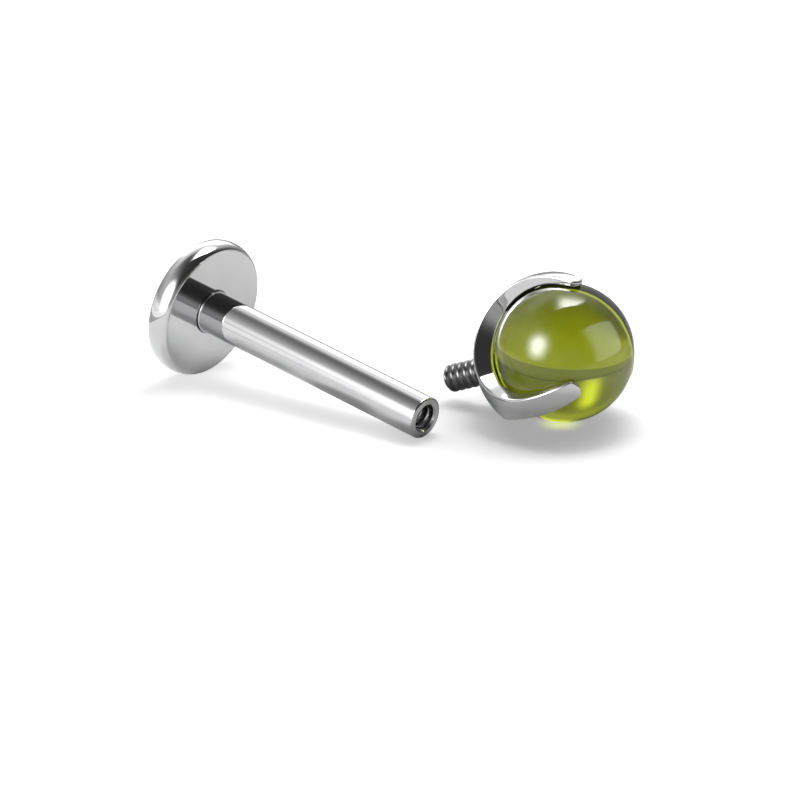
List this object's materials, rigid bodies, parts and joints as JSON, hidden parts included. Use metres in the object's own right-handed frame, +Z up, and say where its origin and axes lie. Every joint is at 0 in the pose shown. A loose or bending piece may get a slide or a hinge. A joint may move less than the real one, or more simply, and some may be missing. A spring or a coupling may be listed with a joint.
{
  "type": "labret stud",
  "caption": "Labret stud shown unscrewed: a backing disc on an internally threaded post lies beside a claw-set clear olive glass ball on a threaded pin.",
  "frame": {"origin": "centre of the bounding box's footprint, on the surface that the stud lies on", "axes": "+Z up from that surface; +X to the right as the picture shows it, along the longest extent; the picture looks towards +Y"},
  "size_m": [0.0135, 0.0078, 0.0042],
  "materials": {
    "polished_steel": "mirror polished surgical steel",
    "machined_steel": "turned steel, dull grey",
    "olive_glass": "clear olive green, polished"
  },
  "bodies": {
    "root": {"back_disc": "polished_steel", "post": "polished_steel", "claw_setting": "polished_steel", "threaded_pin": "machined_steel", "stone_ball": "olive_glass"}
  },
  "joints": []
}
